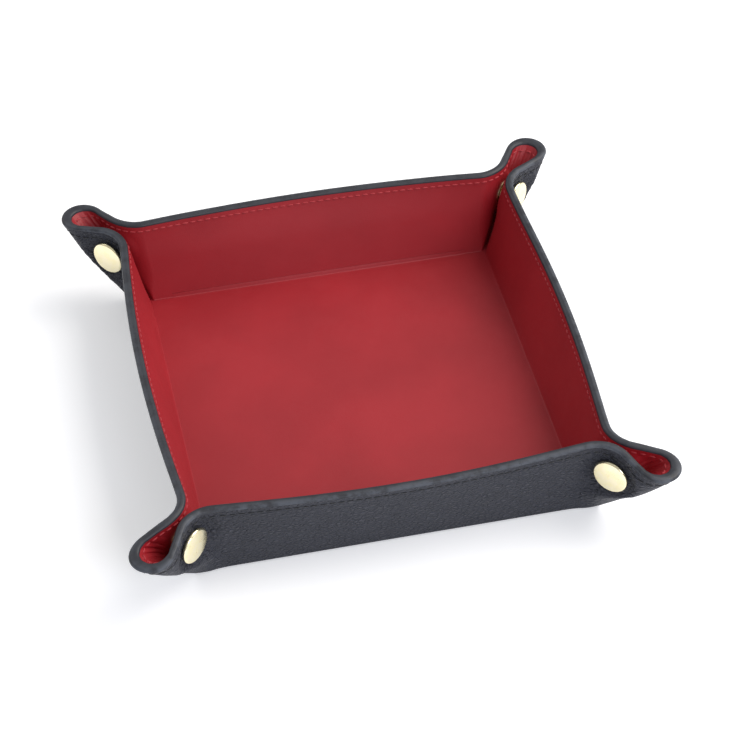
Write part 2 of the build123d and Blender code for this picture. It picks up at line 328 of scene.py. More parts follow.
# %% Soften a row
OUTER_DROP, LINING_DROP = 3.6, 2.5      # threads below the rim
THREAD_GROOVE, GROOVE_HALF = 0.22, 0.6  # depth and half height of the groove that a thread pulls
PUSH_FADE, RISE_FADE, REACH_FADE = (103, 12), (98, 14), (104, 16)       # along the diagonal
DROOP_FROM, DROOP_SLANT, DROOP_OVER = 102, (0.8, 0.2), 20
PUSH_ROUND, SEAM_EASE, LIFT_GROWTH = 4, 24, 1.5
STUD_NEAR = 13       # how far past a stud its grip can reach
GRIP_FADE = (0.4, 4.0)                  # beyond the seat of a cap or post, as in the next line
PUCKER_START, PUCKER_END = (-0.3, 1.0), (1.2, 5.5)
SEAT_SINK, LINING_GRIP = 0.3, 0.8
GATHER_COLUMNS, GATHER_TOP, GATHER_FOOT = 10.0, 4, 10


def soften(points, z, depth, corner, wall):
    """Moves one row of outline points, in mm. Returns them with the row's heights."""
    out = points.copy()
    v, u = points[:, 0], points[:, 1]
    column = np.arange(len(points))
    beyond = column > KNOTS[1]
    x = (v - u) / sqrt(2)
    k = z / RIM
    along = np.where(beyond, 1.0, np.clip(x / BOWED_HALF, 0, 1))
    belly = wall_belly(along, z, wall)
    out += (belly / sqrt(2))[:, None]
    push = END_OUT.get((corner, wall), 0.0) * k ** BOW_GROWTH * along ** PUSH_ROUND
    push = push * (1 - fade(v, PUSH_FADE) * beyond)
    push *= smooth((LAST - column) / SEAM_EASE)
    out += (push / sqrt(2))[:, None]
    # heights: each rim's own rise, and the droop of the tip
    end = END_LIFT.get((corner, wall), 0.0)
    rise = MID_LIFT[wall] + (end - MID_LIFT[wall]) * along ** 2
    rise *= 1 - fade(v, RISE_FADE) * beyond
    droop_from = DROOP_FROM * (DROOP_SLANT[0] + DROOP_SLANT[1] * k)
    droop = TIP_DROOP[corner] * smooth((v - droop_from) / DROOP_OVER) * beyond
    height = z + (rise - droop) * k ** LIFT_GROWTH
    out[:, 0] += TIP_REACH[corner] * k * fade(v, REACH_FADE) * beyond
    # the stud's grip: a flat seat, then puckers that fade out
    tangent = np.gradient(points, axis=0)
    tangent[-1] = (0, -1)
    normal = np.stack([-tangent[:, 1], tangent[:, 0]], axis=1)
    normal /= np.linalg.norm(normal, axis=1, keepdims=True)
    seat = CAP_RADIUS if CAP_WALLS[corner] == wall else POST_RADIUS
    dz, dv = height - STUD_HEIGHT, v - STUD_REACH
    radius, angle = np.sqrt(dz * dz + dv * dv), np.arctan2(dz, dv)
    past_seat = radius - seat
    near = (column > WALL_END) & (v < STUD_REACH + STUD_NEAR)
    grip = (1 - fade(past_seat, GRIP_FADE)) * near
    if depth == 0:
        out[:, 1] -= np.maximum(out[:, 1] - (PINCH + SHEET - SEAT_SINK), 0) * grip
        ring = fade(past_seat, PUCKER_START) * (1 - fade(past_seat, PUCKER_END)) * near
        groove = THREAD_GROOVE * np.exp(-((z - RIM + OUTER_DROP) / GROOVE_HALF) ** 2)
        out += normal * (puckers(angle) * ring - groove)[:, None]
    elif depth == SHEET:
        out[:, 1] -= np.maximum(out[:, 1] - PINCH, 0) * grip * LINING_GRIP
        inside = smooth((column - KNOTS[3]) / GATHER_COLUMNS)
        inside = inside * smooth((RIM - z) / GATHER_TOP) * smooth(z / GATHER_FOOT)
        out += normal * (gathers(column, z) * inside * (1 - grip))[:, None]
    return out, height


def to_world(corner, side, points, height):
    """Along, across and height in mm to metres in the tray's own frame."""
    a = radians(CORNERS[corner])
    shift = side * points[:, 1]
    x = points[:, 0] * cos(a) - shift * sin(a)
    y = points[:, 0] * sin(a) + shift * cos(a)
    return np.stack([x, y, height], axis=1) * MM


print("threads run", OUTER_DROP, "and", LINING_DROP, "mm under the rim")

# %% [markdown]
# ## Rows from floor to rim
# A half corner is a grid: columns follow the outline and rows climb from the floor to the rim.
# The painted edge is rounded over from the outer leather to the lining.

# %% Rows of a half corner
CREASE_TOP = 5.0     # below this the wall belongs to its own crease piece
EDGE_ROUND = 0.95    # radius of the painted edge's corners
TOP_ROW = RIM - EDGE_ROUND
FLANGE = 2.5         # outer leather turned in under the foot
FIRST_ROW = 5.6      # lowest of the even rows above the crease
OUTER_ROWS = [-1.0, 0.0, 0.03, 0.15, 0.4, 0.8, 1.45, 2.3, 3.5, CREASE_TOP]
OUTER_ROWS += list(np.linspace(FIRST_ROW, TOP_ROW, 54))
INNER_ROWS = [3.5, 3.51, 3.56, 3.68, 3.88, 4.15, 4.5, CREASE_TOP]
INNER_ROWS += list(np.linspace(FIRST_ROW, TOP_ROW, 46))


def half_row(corner, side, wall, depth, z):
    """One row of a half corner. Rows under the floor are the flange, drawn in."""
    level = max(z, 0.0)
    points, height = soften(outline(level, depth), level, depth, corner, wall)
    if z < 0:
        points = points * (1 - FLANGE / HALF_FLOOR)
    return to_world(corner, side, points, height)


def wall_beside(corner, side):
    """The wall that a half corner belongs to."""
    normal = (CORNERS[corner] + 45 * side) % 360
    return next(wall for wall, turn in WALLS.items() if turn == normal)


halves = [(corner, side, wall_beside(corner, side)) for corner in CORNERS for side in (1, -1)]
print("halves", len(halves), [h[2] for h in halves])

# %% The painted edge
EDGE_STEPS = 6
EDGE_CROWN = 0.12
EDGE_HIGHLIGHT_SPREAD = {"front": 0.7, "right": 0.6, "rear": 0.3, "left": 0.4}      # how far the painted highlight on the edge's outer corner spreads over its top, per wall


def edge_grid(corner, side, wall):
    """The painted edge: rounded over from the outer face to the lining."""
    outer = half_row(corner, side, wall, 0.0, TOP_ROW)
    inner = half_row(corner, side, wall, SHEET, TOP_ROW)
    width = np.linalg.norm(inner - outer, axis=1, keepdims=True)
    across = (inner - outer) / width
    up = np.array([0, 0, 1.0])
    r, crown = EDGE_ROUND * MM, EDGE_CROWN * MM
    rows = [outer + across * r * (1 - cos(a)) + up * r * sin(a)
            for a in np.linspace(0, pi / 2, EDGE_STEPS)]
    rows += [outer + across * (r + (width - 2 * r) * t) + up * (r + crown * sin(pi * t))
             for t in (0.25, 0.5, 0.75)]
    rows += [inner - across * r * (1 - cos(a)) + up * r * sin(a)
             for a in np.linspace(pi / 2, 0, EDGE_STEPS)]
    return np.array(rows)


EDGE_LEVELS = np.arange(2 * EDGE_STEPS + 3)
# per row over the edge: the painted highlight is full on the outer corner and fades to none towards
# the lining
EDGE_HIGHLIGHT_ROWS = {wall: np.interp(EDGE_LEVELS, (0, EDGE_STEPS - 2, EDGE_STEPS + 2), (1, share, 0))
            for wall, share in EDGE_HIGHLIGHT_SPREAD.items()}
print("rows over the edge", len(EDGE_LEVELS))

# %% [markdown]
# ## Meshes from grids
# Every piece is cut from one of these grids, so neighbours share their border points exactly.
# Their normals are measured on the whole grid and kept, so no seam shows where two pieces meet.

# %% Mesh builder
def grid_normals(grid):
    """Unit normals, measured over the whole grid."""
    du = np.gradient(grid, axis=1)
    dv = np.gradient(grid, axis=0)
    n = np.cross(du, dv)
    return n / np.maximum(np.linalg.norm(n, axis=2, keepdims=True), 1e-12)


def facing(normals, at, way):
    """The normals, all flipped if the one at a grid point leans away from the given way."""
    return -normals if np.dot(normals[at], way) < 0 else normals


def piece_from(name, grids, material, edge_highlight=None):
    """A mesh whose faces all turn the way that the kept normals point."""
    verts, faces, normals = [], [], []
    for points, norms in grids:
        rows, cols = points.shape[:2]
        base = len(verts)
        i, j = rows // 2, cols // 2
        face = np.cross(points[i, j] - points[i, j - 1], points[i, j] - points[i - 1, j])
        flip = np.dot(face, norms[i, j]) < 0
        verts += points.reshape(-1, 3).tolist()
        normals += norms.reshape(-1, 3).tolist()
        for row in range(rows - 1):
            for col in range(cols - 1):
                a = base + row * cols + col
                quad = (a, a + 1, a + cols + 1, a + cols)
                faces.append(quad[::-1] if flip else quad)
    mesh = bpy.data.meshes.new(name)
    mesh.from_pydata(verts, [], faces)
    mesh.materials.append(material)
    # an edge piece keeps its rows' shares of painted highlight as a point attribute
    if edge_highlight is not None:
        shares = np.concatenate([np.repeat(edge_highlight, points.shape[1]) for points, norms in grids])
        mesh.attributes.new("edge_highlight", "FLOAT", "POINT").data.foreach_set("value", shares)
    mesh.shade_smooth()
    mesh.normals_split_custom_set_from_vertices(normals)
    obj = bpy.data.objects.new(name, mesh)
    bpy.context.scene.collection.objects.link(obj)
    return obj


print("ready to build")

# %% [markdown]
# ## Leather and paint
# The outer leather is drum-dyed navy calf with a printed pebble grain: small rounded cells about
# a millimetre across with fine creases between them, and painted shade darkens those creases. The
# lining is smooth red calf with a low sheen and hardly any grain. Along the cut edge lies a thick
# charcoal paint; a painted highlight lightens its outer corner, most on the front and right walls.
# All patterns use object coordinates in metres, so they run on from piece to piece, and a pattern's
# scale counts its features per metre.

# %% Shader helpers
MIX_FACTOR, MIX_A, MIX_B, MIX_RESULT = 0, 6, 7, 2       # the colour sockets of a mix node


def object_place(tree):
    return add_node(tree, "ShaderNodeTexCoord").outputs["Object"]


def mix_colour(tree, a, b, factor):
    """Mixes two colours, each a hex code or another node's output."""
    mix = add_node(tree, "ShaderNodeMix", data_type="RGBA")
    for socket, value in ((MIX_A, a), (MIX_B, b)):
        if isinstance(value, str):
            mix.inputs[socket].default_value = hex_colour(value)
        else:
            tree.links.new(value, mix.inputs[socket])
    tree.links.new(factor, mix.inputs[MIX_FACTOR])
    return mix.outputs[MIX_RESULT]


def noise(tree, place, scale, detail, **more):
    """Cloudy noise."""
    sizes = {"Scale": scale, "Detail": detail, **more}
    return add_node(tree, "ShaderNodeTexNoise", sizes, {"Vector": place})


def map_range(tree, source, low, high, to_low=0.0, to_high=1.0, kind="LINEAR"):
    """Maps one range of a value to another."""
    ends = {"From Min": low, "From Max": high, "To Min": to_low, "To Max": to_high}
    node = add_node(tree, "ShaderNodeMapRange", ends, {"Value": source}, interpolation_type=kind)
    return node.outputs[0]


def ramp(tree, source, low, high):
    """A soft step from 0 to 1 between two values."""
    return map_range(tree, source, low, high, kind="SMOOTHSTEP")


def add_weighted(tree, value, weight, other):
    """value x weight + other"""
    node = add_node(tree, "ShaderNodeMath", {1: weight}, {0: value, 2: other},
                    operation="MULTIPLY_ADD")
    return node.outputs[0]


def bump(tree, height, strength, distance):
    sizes = {"Strength": strength, "Distance": distance}
    return add_node(tree, "ShaderNodeBump", sizes, {"Height": height}).outputs[0]


def finish_surface(tree, sizes, links):
    """One principled surface, and the material's output."""
    shader = add_node(tree, "ShaderNodeBsdfPrincipled", sizes, links)
    add_node(tree, "ShaderNodeOutputMaterial", {}, {"Surface": shader.outputs[0]})


print("shader helpers ready")

# %% Outer leather
CELL_WANDER = (0.0016, 0.0016, 0.0016)  # how far the cells' borders stray, in metres
CELL_STRETCH = (0.8, 0.8, 1.35)


def outer_leather():
    material, tree = new_material("navy pebble calf, drum dyed and plated")
    place = object_place(tree)
    wander = noise(tree, place, 420.0, 3.0)
    cells = add_node(tree, "ShaderNodeVectorMath", {1: CELL_STRETCH}, {0: place},
                     operation="MULTIPLY").outputs[0]
    bent = add_node(tree, "ShaderNodeVectorMath", {1: CELL_WANDER},
                    {0: wander.outputs["Color"], 2: cells}, operation="MULTIPLY_ADD")
    edges = add_node(tree, "ShaderNodeTexVoronoi", {"Scale": 640.0, "Randomness": 1.0},
                     {"Vector": bent.outputs[0]}, feature="DISTANCE_TO_EDGE")
    crease = ramp(tree, edges.outputs["Distance"], 0.0, 0.42)
    swell = noise(tree, cells, 700.0, 4.0, Roughness=0.6).outputs[0]
    fine = noise(tree, place, 2600.0, 3.0).outputs[0]
    broad = noise(tree, place, 60.0, 3.0).outputs[0]
    height = add_weighted(tree, fine, 0.2, add_weighted(tree, swell, 1.3, crease))
    base = mix_colour(tree, "#3a3c47", "#434551", ramp(tree, broad, 0.35, 0.7))
    # the creases between the cells are painted darker, towards #32343e: painted shade in the
    # grain's hollows
    finish_surface(tree, {"Specular IOR Level": 0.42},
                   {"Base Color": mix_colour(tree, "#32343e", base, crease),
                    "Roughness": map_range(tree, crease, 0.0, 1.0, 0.62, 0.47),
                    "Normal": bump(tree, height, 1.0, 0.0008)})
    return material


NAVY = outer_leather()
print(NAVY.name)

# %% Lining leather
def lining_leather():
    material, tree = new_material("red smooth calf lining, aniline dyed")
    place = object_place(tree)
    pores = add_node(tree, "ShaderNodeTexVoronoi", {"Scale": 2400.0}, {"Vector": place},
                     feature="DISTANCE_TO_EDGE")
    pore = ramp(tree, pores.outputs["Distance"], 0.0, 0.25)
    soft = noise(tree, place, 170.0, 5.0).outputs[0]
    broad = noise(tree, place, 26.0, 3.0).outputs[0]
    height = add_weighted(tree, pore, 0.35, soft)
    finish_surface(tree, {"Specular IOR Level": 0.5},
                   {"Base Color": mix_colour(tree, "#981a24", "#a4202a",
                                             ramp(tree, broad, 0.3, 0.75)),
                    "Roughness": map_range(tree, soft, 0.2, 0.8, 0.44, 0.54),
                    "Normal": bump(tree, height, 0.16, 0.0003)})
    return material


RED = lining_leather()
print(RED.name)

# %% Edge paint
def edge_paint():
    material, tree = new_material("charcoal edge paint, sanded and burnished")
    place = object_place(tree)
    # the edge's outer corner is painted lighter in patches, towards #4c515b: a painted highlight,
    # strongest on the front and right walls
    edge_highlight = add_node(tree, "ShaderNodeAttribute", attribute_name="edge_highlight").outputs["Fac"]
    smear = noise(tree, place, 210.0, 5.0, Roughness=0.65).outputs[0]
    fine = noise(tree, place, 1300.0, 3.0).outputs[0]
    patch = ramp(tree, smear, 0.36, 0.62)
    lit_patches = add_node(tree, "ShaderNodeMath", {}, {0: edge_highlight, 1: patch}, operation="MULTIPLY")
    base = mix_colour(tree, "#23252d", "#2e3139", patch)
    height = add_weighted(tree, fine, 0.3, smear)
    finish_surface(tree, {"Specular IOR Level": 0.5},
                   {"Base Color": mix_colour(tree, base, "#4c515b", lit_patches.outputs[0]),
                    "Roughness": map_range(tree, smear, 0.3, 0.7, 0.42, 0.56),
                    "Normal": bump(tree, height, 0.3, 0.0002)})
    return material


PAINT = edge_paint()
print(PAINT.name)

# %% Brass, thread and card
def brass():
    material, tree = new_material("pale gold plated brass, pressed and polished")
    haze = noise(tree, object_place(tree), 420.0, 4.0).outputs[0]
    finish_surface(tree, {"Metallic": 1.0},
                   {"Base Color": mix_colour(tree, "#fdf3cf", "#f9eec3",
                                             ramp(tree, haze, 0.3, 0.7)),
                    "Roughness": map_range(tree, haze, 0.3, 0.7, 0.2, 0.28)})
    return material


def thread(name, dark, light):
    material, tree = new_material(name)
    ply = add_node(tree, "ShaderNodeTexWave", {"Scale": 900.0, "Distortion": 1.5},
                   {"Vector": object_place(tree)}).outputs["Fac"]
    finish_surface(tree, {"Roughness": 0.6, "Sheen Weight": 0.15},
                   {"Base Color": mix_colour(tree, dark, light, ply),
                    "Normal": bump(tree, ply, 0.4, 0.00008)})
    return material


def card():
    material, tree = new_material("grey-brown backing card, calendered")
    fibre = noise(tree, object_place(tree), 700.0, 5.0).outputs[0]
    finish_surface(tree, {"Roughness": 0.85},
                   {"Base Color": mix_colour(tree, "#8f8168", "#a3957b", fibre)})
    return material


BRASS, CARD = brass(), card()
RED_THREAD = thread("red polyester thread, bonded", "#8f1520", "#c23640")
NAVY_THREAD = thread("navy polyester thread, bonded", "#0a0b10", "#161821")
print(BRASS.name, "|", CARD.name)

# %% Dress the hard pieces
for name, node in frame["nodes"].items():
    if name.endswith(("_cap", "_socket", "_stud", "_post")):
        node.data.materials.clear()
        node.data.materials.append(BRASS)
        node.data.shade_smooth()
    if name.endswith("_board"):
        node.data.materials.clear()
        node.data.materials.append(CARD)
print("brass and card on the hard pieces")

# %% [markdown]
# ## The leather, piece by piece
# A wall piece rides its wall. A bend piece and a loop piece stay where they are built and ride no
# body.

# %% Creases of a corner
BEND_TURN = (3.4, 0.8)      # in mm, from this far before a crease to this far after it
LOOP_TURN = (2.8, -0.6)


def crease_frame(corner, side, kind):
    """Middle of a crease and the unit direction across it, towards the diagonal, in mm."""
    a = radians(CORNERS[corner])

    def world(v, u, z):
        s = side * u
        return np.array([v * cos(a) - s * sin(a), v * sin(a) + s * cos(a), z])

    if kind == "bend":
        bend, _, _, pinch, bend_at, _, _ = corner_plan(RIM, SHEET)
        t = (1 - BEND_SHARE) * pi / 4
        foot = world(*BEND_FOOT, 0)
        top = world(bend_at - bend * sin(t), pinch + bend - bend * cos(t), RIM)
    else:
        _, _, loop, _, _, loop_at, taper = corner_plan(RIM, 0)
        t = (1 - LOOP_SHARE) * (pi / 2 + taper)
        foot = world(*LOOP_FOOT, 0)
        top = world(loop_at + loop * cos(t), loop * sin(t), RIM)
    middle, upward = (foot + top) / 2, (top - foot) / np.linalg.norm(top - foot)
    bend, _, _, pinch, bend_at, loop_at, _ = corner_plan(middle[2], 0)
    if kind == "bend":
        centre = world(bend_at, pinch + bend, middle[2])
    else:
        centre = world(loop_at, 0, middle[2])
    forward = np.cross(middle - centre, upward) * side * (-1 if kind == "bend" else 1)
    return middle, forward / np.linalg.norm(forward)


def blend_at(obj, corner, side, wall, kind, before, after):
    """Finds the middle of a crease and the way across it, and bakes the piece's place into its
    mesh.
    """
    middle, forward = crease_frame(corner, side, kind)
    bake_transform(obj)


print("bend crease at", crease_frame("rear_right", 1, "bend")[0].round(1))

# %% Grids of the leather
PROBE = 5            # a column near the wall's middle, where the way out is plain
LAYERS = {"outer": (0.0, OUTER_ROWS, 1), "lining": (SHEET, INNER_ROWS, -1)}
SKINS = {"outer": (NAVY, "outer_leather", "leather"), "lining": (RED, "lining", "lining"),
         "edge": (PAINT, "outer_leather", "edge_paint")}
leather = {}
for corner, side, wall in halves:
    stem = f"{corner}_{wall}"
    for layer, (depth, rows, sign) in LAYERS.items():
        grid = np.array([half_row(corner, side, wall, depth, z) for z in rows])
        at = (len(rows) // 2, PROBE)
        outward = grid[at] * (sign, sign, 0)
        leather[(stem, layer)] = (grid, facing(grid_normals(grid), at, outward))
    grid = edge_grid(corner, side, wall)
    upward = facing(grid_normals(grid), (EDGE_STEPS + 1, PROBE), (0, 0, 1))
    leather[(stem, "edge")] = (grid, upward)


def cut(stem, layer, first, last, low=0):
    """A part of one grid with its normals."""
    grid, normals = leather[(stem, layer)]
    return grid[low:, first:last + 1], normals[low:, first:last + 1]


print("grids", len(leather))

# %% Corner pieces
for corner, side, wall in halves:
    stem = f"{corner}_{wall}"
    for layer, (material, slot, word) in SKINS.items():
        edge_highlight = EDGE_HIGHLIGHT_ROWS[wall] if layer == "edge" else None
        bend_cut = cut(stem, layer, WALL_END, TAPER_MIDDLE)
        loop_cut = cut(stem, layer, TAPER_MIDDLE, LAST)
        bend = piece_from(f"{stem}_bend_{word}", [bend_cut], material, edge_highlight)
        loop = piece_from(f"{stem}_loop_{word}", [loop_cut], material, edge_highlight)
        if layer in ("outer", "lining"):
            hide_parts(f"{stem}_flank_{layer}")
            if layer == "outer":
                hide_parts(f"{stem}_tip")
        blend_at(bend, corner, side, wall, "bend", *BEND_TURN)
        blend_at(loop, corner, side, wall, "loop", *LOOP_TURN)
print("corner pieces", len(halves) * 6)

# %% [markdown]
# ## Walls and creases
# The wall's middle comes from the two halves that meet there. The crease at its foot is a strip of
# its own that turns between the floor and the wall.

# %% Crease strips
CREASE_COLUMNS = 60
LINING_INSET = 0.05
FLOOR_EDGE = {depth: wall_foot(depth, depth) - inset
              for depth, inset in ((0.0, FLANGE), (SHEET, LINING_INSET))}


def turn_to(normal, along, out, z):
    """Along a wall, out and up in mm to metres in the tray's own frame."""
    a = radians(normal - 90)
    return np.stack([along * cos(a) - out * sin(a), along * sin(a) + out * cos(a), z], axis=-1) * MM


def crease_grid(wall, depth):
    """From the floor to the wall at CREASE_TOP, as wide at each height as the corners leave it."""
    levels = [z for z in (OUTER_ROWS if depth == 0 else INNER_ROWS) if 0 <= z <= CREASE_TOP]
    rows = []
    for out, z in [(FLOOR_EDGE[depth], depth)] + [(wall_foot(z, depth), z) for z in levels]:
        start = pinched_run(z, depth)[1] - BEND_PAD
        along = np.linspace(-start, start, CREASE_COLUMNS)
        share = (z - depth) / (CREASE_TOP - depth)
        bowed = out + share * wall_belly(np.clip(abs(along) / BOWED_HALF, 0, 1), z, wall)
        rows.append(turn_to(WALLS[wall], along, bowed, np.full(CREASE_COLUMNS, z)))
    return np.array(rows)


print("the lining's floor ends", round(float(FLOOR_EDGE[SHEET]), 2), "mm out")

# %% Walls
CREASE_ROWS = {"outer": OUTER_ROWS.index(CREASE_TOP), "lining": INNER_ROWS.index(CREASE_TOP),
               "edge": 0}
for wall, normal in WALLS.items():
    stems = [f"{c}_{w}" for c, s, w in halves if w == wall]
    for layer, (material, slot, word) in SKINS.items():
        grids = [cut(stem, layer, 0, WALL_END, CREASE_ROWS[layer]) for stem in stems]
        edge_highlight = EDGE_HIGHLIGHT_ROWS[wall] if layer == "edge" else None
        body = piece_from(f"{wall}_wall_{word}", grids, material, edge_highlight)
        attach(body, f"{wall}_wall")
        if layer == "edge":
            continue
        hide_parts(f"{wall}_{layer}")
        depth, _, sign = LAYERS[layer]
        grid = crease_grid(wall, depth)
        normals = facing(grid_normals(grid), (0, CREASE_COLUMNS // 2), (0, 0, -sign))
        strip = piece_from(f"{wall}_crease_{word}", [(grid, normals)], material)
        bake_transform(strip)
print("walls and creases made")

# %% [markdown]
# ## Floor, lap and flaps
# The floor is a flat square of both leathers. Its lining laps out under the walls and a narrow
# flap lies behind each loop's seam, which closes most of what opens when the tray lies flat.

# %% Floor
FLOOR_SWELL = 0.25
FLOOR_COLUMNS = 40


def floor_sheet(name, depth, material, node):
    half = FLOOR_EDGE[depth]
    line = np.linspace(-half, half, FLOOR_COLUMNS)
    x, y = np.meshgrid(line, line)
    swell = FLOOR_SWELL * (1 - (x / half) ** 2) ** 2 * (1 - (y / half) ** 2) ** 2 * (depth > 0)
    grid = np.stack([x, y, depth + swell], axis=-1) * MM
    normals = facing(grid_normals(grid), (2, 2), (0, 0, 1 if depth else -1))
    obj = piece_from(name, [(grid, normals)], material)
    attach(obj, "floor")
    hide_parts(node)


floor_sheet("floor_lining", SHEET, RED, "base_lining")
floor_sheet("floor_leather", 0.0, NAVY, "base_outer")
print("floor made")

# %% Lap under the walls
LAP_EDGE, LAP_CORNER = 68.0, 69.0       # how far out the lap reaches, at its sides and corners
LAP_SINK, LAP_COLUMNS = 0.05, 12
line = np.linspace(-LAP_EDGE, LAP_EDGE, LAP_COLUMNS)
lap = np.array([[(x, y, SHEET - LAP_SINK) for x in line] for y in line]) * MM
lap[[0, 0, -1, -1], [0, -1, 0, -1], :2] *= LAP_CORNER / LAP_EDGE
lap_normals = np.zeros_like(lap)
lap_normals[:, :, 2] = 1
sheet = piece_from("floor_lap", [(lap, lap_normals)], RED)
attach(sheet, "floor")
print("lap reaches", LAP_EDGE, "mm out")

# %% Flaps behind the seams
FLAP_LEVELS, FLAP_ROWS = (1.0, 30.0), 20
FLAP_ACROSS, FLAP_COLUMNS = (1.2, -2.2), 4
FLAP_SHARE = 0.02    # how far it lies from the lining's face towards the outer one


def seam_flap(corner, side, wall):
    """A narrow strip of lining behind the closing line of a loop."""
    a = radians(CORNERS[corner])
    across = np.array([-sin(a), cos(a), 0.0]) * MM
    seam = []
    for z in np.linspace(*FLAP_LEVELS, FLAP_ROWS):
        inner, outer = (half_row(corner, side, wall, depth, z)[-1] for depth in (SHEET, 0.0))
        seam.append(inner * (1 - FLAP_SHARE) + outer * FLAP_SHARE)
    steps = np.linspace(*FLAP_ACROSS, FLAP_COLUMNS)
    flap = np.array([[point + across * t for t in steps] for point in seam])
    normals = facing(grid_normals(flap), (5, 1), (-cos(a), -sin(a), 0))
    gusset = piece_from(f"{corner}_seam_flap", [(flap, normals)], RED)
    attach(gusset, f"{corner}_{wall}_tip")


for corner, side, wall in halves:
    if side > 0:
        seam_flap(corner, side, wall)
print("flaps", len(CORNERS))

# %% [markdown]
# ## Card in the walls
# Each wall's card follows the same belly as its leathers, so it is made anew from the outline.

# %% Wall boards
BOARD_FACES = (1.15, 2.35)
BOARD_LEVELS, BOARD_ROWS = (5.2, 27.0), 12


def half_board(corner, side, wall):
    """A closed ring of rows round the card: up its outer face and down its inner one."""
    up = np.linspace(*BOARD_LEVELS, BOARD_ROWS)
    outer, inner = BOARD_FACES
    walk = [(outer, z) for z in up] + [(inner, z) for z in up[::-1]] + [(outer, up[0])]
    return np.array([half_row(corner, side, wall, depth, z)[:WALL_END - 1] for depth, z in walk])


for wall in WALLS:
    grids = []
    for corner, side in [(c, s) for c, s, w in halves if w == wall]:
        grid = half_board(corner, side, wall)
        at = (PROBE, PROBE)
        grids.append((grid, facing(grid_normals(grid), at, grid[at] * (1, 1, 0))))
    board = piece_from(f"{wall}_card", grids, CARD)
    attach(board, f"{wall}_wall")
    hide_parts(f"{wall}_board")
print("cards follow the walls")

# %% [markdown]
# ## Press studs
# A cap is pressed from thin brass: a low even dome whose rim is rolled over. It is lathed about the
# stud's own axis, which the frame gives.

# %% Lathe
def lathe(name, corner, side, profile, seat, body, node, count=96):
    """Turns a profile of (radius, distance out) about a stud's axis."""
    a = radians(CORNERS[corner])
    axis = np.array([-sin(a), cos(a), 0]) * side
    centre = np.array([STUD_REACH * cos(a), STUD_REACH * sin(a), STUD_HEIGHT]) + axis * seat
    right, up = np.cross(axis, [0, 0, 1.0]), np.array([0, 0, 1.0])
    rays = [right * cos(t) + up * sin(t) for t in np.linspace(0, 2 * pi, count + 1)]
    grid = np.array([[centre + axis * h + ray * r for ray in rays] for r, h in profile]) * MM
    normals = np.zeros_like(grid)
    for i, (dr, dh) in enumerate(np.gradient(np.array(profile), axis=0)):
        for j, ray in enumerate(rays):
            n = axis * dr - ray * dh
            normals[i, j] = n / np.linalg.norm(n)
    obj = piece_from(name, [(grid, normals)], BRASS)
    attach(obj, body)
    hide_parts(node)


print("lathe ready")

# %% Lathed caps
CAP_CROWN, CAP_ROLL, CAP_DOME = 1.9, 0.75, 0.42
ROLL_TURN = (0.25, 2.5)     # the rim's roll, in radians from the dome's edge
CAP_SINK = -0.15            # its last ring lies just inside the leather
flat = CAP_RADIUS - CAP_ROLL
shoulder = CAP_CROWN - CAP_DOME
cap_profile = [(max(flat * t, 0.01), CAP_CROWN - CAP_DOME * t * t) for t in np.linspace(0, 1, 16)]
cap_profile += [(flat + CAP_ROLL * sin(t), shoulder - CAP_ROLL * (1 - cos(t)))
                for t in np.linspace(*ROLL_TURN, 14)]
cap_profile += [(flat, CAP_SINK)]
for corner, side, wall in halves:
    if CAP_WALLS[corner] == wall:
        lathe(f"{corner}_cap_dome", corner, side, cap_profile, PINCH + SHEET,
              f"{corner}_{wall}_flank", f"{corner}_cap")
print("caps lathed")

# %% [markdown]
# ## Stitching by rule
# Thread repeats, so a node tree lays it: it spaces points along a guide line, sets one stitch on
# each, and turns it to the line. The same tree serves both threads with its own pitch and colour.

# %% Stitch tree
def stitch_tree():
    tree = bpy.data.node_groups.new("lay stitches", "GeometryNodeTree")
    face = tree.interface
    face.new_socket("Geometry", in_out="INPUT", socket_type="NodeSocketGeometry")
    sizes = {"Pitch": 0.003, "Length": 0.0024, "Thickness": 0.0003}
    for name, value in sizes.items():
        socket = face.new_socket(name, in_out="INPUT", socket_type="NodeSocketFloat")
        socket.default_value = value
    face.new_socket("Thread", in_out="INPUT", socket_type="NodeSocketMaterial")
    face.new_socket("Geometry", in_out="OUTPUT", socket_type="NodeSocketGeometry")
    given = tree.nodes.new("NodeGroupInput").outputs
    end = tree.nodes.new("NodeGroupOutput")
    line = add_node(tree, "GeometryNodeMeshToCurve", {}, {"Mesh": given["Geometry"]})
    spaced = add_node(tree, "GeometryNodeResampleCurve", {},
                      {"Curve": line.outputs[0], "Length": given["Pitch"]}, mode="LENGTH")
    tangent = add_node(tree, "GeometryNodeInputTangent")
    turned = add_node(tree, "FunctionNodeAlignRotationToVector", {},
                      {"Vector": tangent.outputs[0]}, axis="Z")
    ball = add_node(tree, "GeometryNodeMeshUVSphere", {"Segments": 8, "Rings": 6, "Radius": 1.0})
    half = add_node(tree, "ShaderNodeMath", {1: 0.5}, {0: given["Length"]}, operation="MULTIPLY")
    size = add_node(tree, "ShaderNodeCombineXYZ", {},
                    {0: given["Thickness"], 1: given["Thickness"], 2: half.outputs[0]})
    placed = add_node(tree, "GeometryNodeInstanceOnPoints", {},
                      {"Points": spaced.outputs[0], "Instance": ball.outputs[0],
                       "Rotation": turned.outputs[0], "Scale": size.outputs[0]})
    real = add_node(tree, "GeometryNodeRealizeInstances", {}, {"Geometry": placed.outputs[0]})
    smoothed = add_node(tree, "GeometryNodeSetShadeSmooth", {}, {"Geometry": real.outputs[0]})
    dressed = add_node(tree, "GeometryNodeSetMaterial", {},
                       {"Geometry": smoothed.outputs[0], "Material": given["Thread"]})
    tree.links.new(dressed.outputs[0], end.inputs[0])
    return tree


STITCHES = stitch_tree()
print("stitch inputs", [i.name for i in STITCHES.interface.items_tree])

